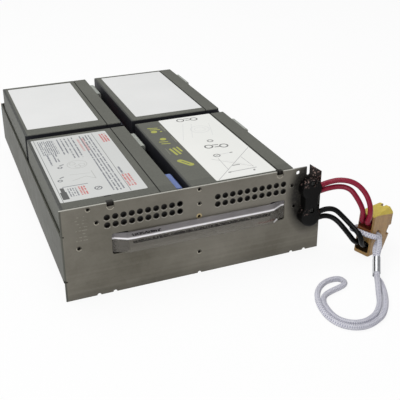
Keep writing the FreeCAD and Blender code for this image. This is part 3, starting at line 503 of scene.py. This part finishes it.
# ---- Battery labels ---------------------------------------------------------------------------
# Printed film is stuck in a shallow recess on each battery's upper face.
# The rear two are blank, the front right one has fine line drawings, the front left dense print.
def rows(finish, across, along, pitch, bar, seed):
    """Bars that stand for lines of print, broken into lengths by noise."""
    line = across / pitch
    step = line % 1.0
    spot = finish.node("ShaderNodeCombineXYZ", None, {0: (line - step) * 3.7 + seed, 1: along * 0.4, 2: 0.0})
    return (step < bar) * (finish.noise(spot, 1.0, 2.0, 0.6) > 0.43)


def film_finish(name, label, low, high):
    """Bare film, with the distances in millimetres from its left and its near edge."""
    finish = Finish(name, {"Roughness": 0.42, "Specular IOR Level": 0.4})
    point, (x, y, z) = finish.place()
    cloud = finish.noise(point, 18.0, 3.0)
    finish.feed("Roughness", 0.36 + cloud * 0.12)
    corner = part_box(label)[0]
    return finish, finish.blend(cloud, low, high), (x - corner.x) * mm, (y - corner.y) * mm


blank, film, *_ = film_finish(
    "blank_film", "battery_label_rear_left", display(225, 226, 225), display(234, 234, 233))
blank.feed("Base Color", film)
dress(nodes["battery_label_rear_left"], blank)
dress(nodes["battery_label_rear_right"], blank)

drawn_film, film, x, y = film_finish(
    "drawn_film", "battery_label_front_right", display(233, 234, 230), display(241, 241, 237))
dark_marks = drawing(x, y, bars=[
    ((26.0, 139.4), (29.4, 139.0), 1.3), ((25.4, 143.8), (30.0, 143.2), 1.3),
    ((26.4, 66.0), (30.0, 65.6), 1.4), ((26.0, 71.0), (30.6, 70.2), 1.4),
], rings=[
    (20.6, 141.0, 3.4, 1.3), (34.4, 140.0, 3.4, 1.3), (21.4, 68.8, 3.5, 1.4), (35.0, 66.0, 3.6, 1.4),
])
spots = drawing(x, y, bars=[
    ((19.0, 47.0), (22.0, 48.4), 0.8), ((34.0, 49.2), (35.6, 49.4), 1.6), ((25.0, 23.0), (30.6, 22.8), 1.5),
    ((16.4, 11.4), (17.2, 11.4), 2.0), ((37.6, 7.4), (38.4, 9.0), 1.6),
], rings=[(27.9, 81.2, 2.4, 1.4), (20.4, 47.6, 2.8, 1.2)])
lines = drawing(x, y, bars=[
    ((2.6, 1.0), (53.8, 54.0), 0.6), ((12.8, 42.0), (40.4, 15.0), 0.45), ((18.9, 41.0), (17.8, 15.6), 0.5),
    ((38.8, 37.0), (40.4, 14.6), 0.5), ((18.0, 11.6), (41.6, 12.2), 1.2), ((24.0, 48.8), (35.0, 49.2), 0.45),
])
faint = drawing(x, y, bars=[
    ((5.6, 92.0), (19.6, 131.0), 0.5), ((15.8, 95.0), (27.2, 128.4), 0.5),
    ((36.0, 94.0), (44.0, 124.0), 0.5), ((22.0, 36.0), (36.0, 22.0), 0.4),
], rings=[(30.0, 112.0, 9.0, 0.7), (30.0, 112.0, 5.2, 0.5)])
film = drawn_film.blend(faint * 0.3, film, display(176, 178, 184))
film = drawn_film.blend(lines * 0.6, film, display(128, 128, 132))
film = drawn_film.blend(spots * 0.8, film, display(112, 112, 112))
drawn_film.feed("Base Color", drawn_film.blend(dark_marks * 0.9, film, display(84, 84, 84)))
dress(nodes["battery_label_front_right"], drawn_film)

printed, film, x, y = film_finish(
    "printed_film", "battery_label_front_left", display(202, 204, 202), display(212, 213, 211))
grey_print = [              # left, right, near, far, spacing of the rows, share of ink
    (5.0, 19.4, 95.6, 129.4, 1.75, 0.55), (7.3, 9.6, 72.0, 95.6, 2.3, 0.6),
    (12.4, 17.2, 78.0, 95.6, 2.4, 0.5), (22.4, 37.4, 92.0, 129.4, 3.44, 0.36),
    (29.2, 37.4, 81.0, 92.0, 3.44, 0.36), (43.8, 54.6, 5.4, 129.6, 2.83, 0.42),
    (10.0, 17.2, 8.0, 23.0, 2.0, 0.5), (6.9, 28.0, 26.4, 27.4, 40.0, 1.0),
    (58.7, 60.6, 34.0, 49.4, 2.4, 0.7),
]
for index, (left, right, near, far, pitch, bar) in enumerate(grey_print):
    block = field(x, y, left, right, near, far) * rows(printed, x - left, y, pitch, bar, 11.0 * index)
    film = printed.blend(block * 0.85, film, display(104, 107, 116))
red_print = [               # the same, and the strength of the ink
    (40.2, 42.4, 93.0, 124.0, 4.0, 0.5, 0.4), (44.6, 46.8, 93.0, 124.0, 4.0, 0.5, 0.4),
    (62.4, 69.2, 107.0, 127.6, 2.4, 0.62, 0.8), (57.8, 64.6, 9.4, 33.0, 2.5, 0.6, 0.75),
    (18.8, 24.4, 8.0, 23.8, 2.1, 0.62, 0.8),
]
for index, (left, right, near, far, pitch, bar, strength) in enumerate(red_print):
    bars = rows(printed, x - left, y * 1.6, pitch, bar, 5.0 + 7.0 * index)
    block = field(x, y, left, right, near, far) * bars
    film = printed.blend(block * strength, film, display(196, 74, 70))
frame_lines = field(x, y, 2.2, 2.7, 0.0, 134.0).at_least(field(x, y, 56.6, 57.1, 1.0, 132.0))
small_marks = drawing(x, y, bars=[
    ((14.0, 69.6), (17.0, 70.8), 1.3), ((9.0, 44.4), (12.0, 46.0), 1.3), ((32.6, 14.4), (35.0, 16.6), 1.0),
], rings=[(13.2, 65.4, 1.7, 1.0), (8.0, 39.4, 1.7, 1.0), (33.8, 15.4, 2.8, 1.1)])
outlines = drawing(x, y, bars=[
    ((17.6, 36.0), (30.0, 41.0), 0.7), ((30.0, 41.0), (36.6, 34.0), 0.7),
    ((36.6, 34.0), (36.4, 50.0), 0.7), ((17.8, 48.0), (34.0, 46.0), 0.6),
], rings=[(28.2, 67.0, 8.4, 0.6), (24.6, 69.6, 2.6, 0.6), (32.0, 65.0, 2.6, 0.6), (28.0, 62.6, 2.4, 0.6)])
solid_patch = field(x, y, 3.2, 8.4, 4.4, 18.0).at_least(field(x, y, 4.4, 7.6, 18.0, 25.6))
film = printed.blend(outlines * 0.4, film, display(140, 140, 132))
film = printed.blend(frame_lines * 0.8, film, display(92, 93, 94))
film = printed.blend(small_marks * 0.85, film, display(88, 90, 96))
printed.feed("Base Color", printed.blend(solid_patch * 0.92, film, display(66, 66, 66)))
dress(nodes["battery_label_front_left"], printed)


# ---- Terminal boots ---------------------------------------------------------------------------
# Soft PVC boots cover the push-on terminals that stand out of each lid.
# The four over the rear tabs are clear grey; of those over the front tabs one is pale blue, the rest black.
def boot_finish(name, low, high, gloss):
    finish = Finish(name, {
        "Roughness": gloss, "Subsurface Weight": 0.15, "Subsurface Radius": (0.002, 0.002, 0.002),
        "Subsurface Scale": 0.5})
    point, _ = finish.place()
    cloud = finish.noise(point, 160.0, 3.0)
    finish.feed("Base Color", finish.blend(cloud, low, high))
    finish.relief(finish.noise(point, 600.0), 0.00005, 0.4)
    return finish


grey_boot = boot_finish("grey_boot", display(150, 154, 148), display(176, 180, 172), 0.3)
blue_boot = boot_finish("blue_boot", display(82, 100, 156), display(122, 140, 190), 0.28)
black_boot = boot_finish("black_boot", display(26, 28, 40), display(40, 42, 56), 0.4)
dress_nodes("boot_rear", grey_boot)
dress_nodes("boot_front", black_boot)
dress(nodes["boot_front_front_left"], blue_boot)


# ---- Inner leads and links --------------------------------------------------------------------
# The same PVC wires run in the gap between the batteries, from the clamp to the terminals.
# A short link joins the front and the rear battery of each column.
dress_nodes("lead_red", red_pvc)
dress_nodes(("lead_black", "series_link"), black_pvc)


# ---- Pull strip -------------------------------------------------------------------------------
# A clear film strap, threaded through two slots of the plate, is the handle that slides the tray out.
# Its upper part leans back and is painted lighter as if lit from above, with a painted highlight along the
# crease; dark bars of print run below and above the crease.
crease = 0.0482
strap = Finish("strap_film", {
    "Roughness": 0.4, "Specular IOR Level": 0.2, "Coat Weight": 0.06, "Coat Roughness": 0.2})
point, (x, y, z) = strap.place()
cloud = strap.noise(point, 60.0)
stretched = strap.node("ShaderNodeCombineXYZ", None, {0: x * 30.0, 1: 0.0, 2: z * 300.0})
wrinkle = strap.noise(stretched, 1.0, 2.0)
lower = strap.blend(wrinkle, display(120, 116, 108), display(146, 142, 136))
# Painted light: the upper facet is lighter than the lower one, as if lit from above.
lit_upper_facet = strap.blend(cloud, display(124, 121, 122), display(164, 160, 162))
film = strap.blend(((z - crease) * 1500.0).clipped(), lower, lit_upper_facet)
# Painted highlight: a near-white line along the crease.
ridge_highlight = (1.0 - (abs(z - crease) - 0.0004) * 1400.0).clipped()
film = strap.blend(ridge_highlight, film, display(252, 249, 252))
hold = (0.36 + (z > crease) * 0.2).at_least(ridge_highlight * 0.95)
x = x * mm
z = z * mm
mark = field(x, z, -57.6, 63.0, 43.4, 45.8).at_least(field(x, z, -58.3, -34.0, 49.7, 51.4))
spread = strap.node("ShaderNodeCombineXYZ", None, {0: x * 1.2, 1: z * 0.5, 2: 3.0})
dashes = strap.noise(spread, 1.0, 1.0) > 0.44
film = strap.blend(mark * dashes * 0.95, film, display(22, 18, 18))
rust = field(x, z, 52.0, 68.4, 37.6, 39.2) * (strap.noise(point, 700.0) > 0.45)
film = strap.blend(rust * 0.6, film, display(120, 70, 62))
glint = stroke(x, z, (67.6, 36.2), (71.0, 36.8), 1.4)
strap.feed("Base Color", strap.blend(glint, film, display(235, 235, 235)))
strap.feed("Alpha", hold.at_least(mark * dashes * 0.9).at_least(rust * 0.6).at_least(glint))
strap.relief(wrinkle, 0.0003, 0.5)
dress(nodes["pull_strip"], strap)


# ---- Cable clamp ------------------------------------------------------------------------------
# One black glass-filled nylon moulding holds both pairs of wires, fixed by two screws and nuts.
# Pinkish specks of painted highlight lie on its upper parts; the brass nut pressed into the plate's middle is
# dressed here too.
nylon = Finish("black_nylon", {"Roughness": 0.5, "Specular IOR Level": 0.14})
point, (x, y, z) = nylon.place()
fleck = nylon.noise(point, 500.0, 3.0)
coal = nylon.blend((fleck * 1.2 - 0.4).clipped(), display(4, 4, 4), display(13, 12, 11))
# Painted highlights: pinkish specks, thick towards the top and fainter on the lower lobe.
top_glints = (nylon.noise(point, 520.0, 2.0, 0.6) > 0.60) * ((z - 0.0645) * 300.0).clipped()
lower_glints = (nylon.noise(point, 560.0, 2.0, 0.6) > 0.64) * within(z, 0.0390, 0.0460) * 0.5
nylon.feed("Base Color", nylon.blend(top_glints.at_least(lower_glints) * 0.7, coal, display(138, 116, 110)))
nylon.feed("Roughness", 0.42 + fleck * 0.2)
nylon.relief(fleck, 0.00006, 0.5)
dress(nodes["cable_clamp"], nylon)
dark_zinc = metal("dark_zinc", 0.9, 0.35, 400.0, display(40, 40, 40), display(84, 84, 82))
dress(nodes["clamp_screws"], dark_zinc)
dress(nodes["clamp_nuts"], dark_zinc)
brass = metal("brass_nut", 0.9, 0.35, 400.0, display(150, 132, 96), display(206, 190, 150))
dress(nodes["clinch_nut"], brass)


# ---- Connector --------------------------------------------------------------------------------
# A yellow polycarbonate housing with two silver-plated contacts, of the kind that mates with itself.
# The moulding is slightly see-through and streaked down its sides; faces turned up are painted a lighter
# yellow as lit from above, and the sides browner, partly as painted shade.
yellow = Finish("yellow_polycarbonate", {
    "Roughness": 0.36, "Subsurface Weight": 0.15, "Subsurface Radius": (0.004, 0.003, 0.001),
    "Subsurface Scale": 0.4})
point, _ = yellow.place()
foot = Vector((0.1401, -0.1919, 0.0020))
stance = Euler([math.radians(part) for part in (1.5, 4.2, 20.9)]).to_matrix()
from_foot = yellow.node("ShaderNodeVectorMath", {"operation": "SUBTRACT"}, {0: point, 1: foot})
inward, sideways, up = [
    yellow.node("ShaderNodeVectorMath", {"operation": "DOT_PRODUCT"},
                {0: from_foot, 1: stance.col[axis]}, "Value") * mm
    for axis in range(3)]
cloud = yellow.noise(point, 120.0, 3.0)
mottle = yellow.noise(point, 420.0, 3.0, 0.6)
streak = yellow.noise(
    yellow.node("ShaderNodeCombineXYZ", None, {0: inward * 0.5, 1: sideways * 0.5, 2: up * 0.05}), 1.0, 3.0)
facing = yellow.split(yellow.node("ShaderNodeNewGeometry", output="Normal"))
shaded_side = yellow.blend(
    (cloud * 0.5 + streak * 0.8 + mottle * 0.5 - 0.45).clipped(), display(132, 92, 42), display(190, 152, 92))
ends = 1.0 - within(inward, 2.2, 28.0)
shaded_side = yellow.blend(ends * 0.45, shaded_side, display(112, 84, 30))
lit_top = yellow.blend((cloud * 0.7 + mottle * 0.5 - 0.1).clipped(), display(190, 166, 56), display(222, 200, 88))
# Painted light: faces turned up take the lighter yellow, the rest the browner, shaded tone.
faces_up = ((facing[2] - 0.25) * 4.0).clipped() * (up > 33.0)
skin = yellow.blend(faces_up, shaded_side, lit_top)
# Painted shade inside the wire pockets: dark brown in the lower pair, dark red in the upper pair where the
# red wires sit.
pockets = within(inward, 0.5, 13.0) * (abs(sideways) < 6.9) * within(up, 1.2, 37.6)
pocket_shade = yellow.blend(up > 19.5, display(44, 28, 12), display(104, 30, 24))
skin = yellow.blend(pockets * 0.9, skin, pocket_shade)
lips = within(inward, -1.0, 0.5) * (abs(sideways) < 6.6) * within(up, 19.5, 37.0)
skin = yellow.blend(lips * 0.55, skin, display(120, 42, 26))
yellow.feed("Base Color", skin)
yellow.feed("Roughness", 0.3 + cloud * 0.2)
yellow.relief(cloud + mottle * 0.5, 0.00015, 0.5)
dress(nodes["connector_housing"], yellow)
silver = metal("silver_plate", 1.0, 0.28, 300.0, display(196, 196, 192), display(224, 224, 220))
dress(nodes["contact_positive"], silver)
dress(nodes["contact_negative"], silver)
sleeve = metal("bright_sleeve", 0.95, 0.2, 350.0, display(150, 152, 156), display(214, 214, 218))
dress(nodes["crimp_sleeve"], sleeve)


# ---- Bench and light --------------------------------------------------------------------------
# A white sweep under soft, even studio light: a broad lamp overhead and one at the front left.
# The paper glows where it is seen directly, so that it stays an even white all round.
class Surroundings(Finish):
    """The world's background shader, with its nodes made in the same way."""

    def __init__(self, world):
        world.use_nodes = True
        self.tree = world.node_tree
        self.shader = next(n for n in self.tree.nodes if n.type == "BACKGROUND")
        self.shader.inputs["Color"].default_value = (1, 1, 1, 1)


paper = bpy.data.meshes.new("bench")
sweep = bmesh.new()
bmesh.ops.create_grid(sweep, x_segments=1, y_segments=1, size=4.0)
sweep.to_mesh(paper)
sweep.free()
bench = bpy.data.objects.new("bench", paper)
bpy.context.scene.collection.objects.link(bench)
white = Finish("white_paper", {"Base Color": display(245, 245, 245), "Roughness": 0.9})
rays = white.node("ShaderNodeLightPath").socket.node.outputs
seen = Wire(white, rays["Is Camera Ray"]).at_least(Wire(white, rays["Is Glossy Ray"]))
seen = seen.at_least(Wire(white, rays["Is Transmission Ray"]))
glow = white.node("ShaderNodeEmission", None, {"Color": (1, 1, 1, 1), "Strength": 1.0})
surface = white.node("ShaderNodeMixShader", None, {
    0: seen * 0.9, 1: Wire(white, white.shader.outputs[0]), 2: glow})
output = next(n for n in white.tree.nodes if n.type == "OUTPUT_MATERIAL")
white.tree.links.new(surface.socket, output.inputs["Surface"])
paper.materials.append(white.material)

ambient = 0.42
world = bpy.data.worlds.new("studio")
bpy.context.scene.world = world
air = Surroundings(world)
rays = air.node("ShaderNodeLightPath").socket.node.outputs
direct = Wire(air, rays["Is Camera Ray"]).at_least(Wire(air, rays["Is Transmission Ray"]))
air.feed("Strength", air.node("ShaderNodeMapRange", None, {
    "Value": direct, "To Min": ambient, "To Max": 1.0}, "Result"))


def lamp(name, place, aim, size, power):
    light = bpy.data.lights.new(name, "AREA")
    light.shape = "SQUARE"
    light.size = size
    light.energy = power
    stand = bpy.data.objects.new(name, light)
    stand.location = place
    stand.rotation_euler = (Vector(aim) - Vector(place)).to_track_quat("-Z", "Y").to_euler()
    bpy.context.scene.collection.objects.link(stand)


lamp("overhead", (-0.3, 0.2, 1.5), (0, 0, 0.05), 1.4, 14.0)
lamp("front_left", (-1.1, -1.0, 0.9), (0, -0.05, 0.03), 0.9, 8.0)
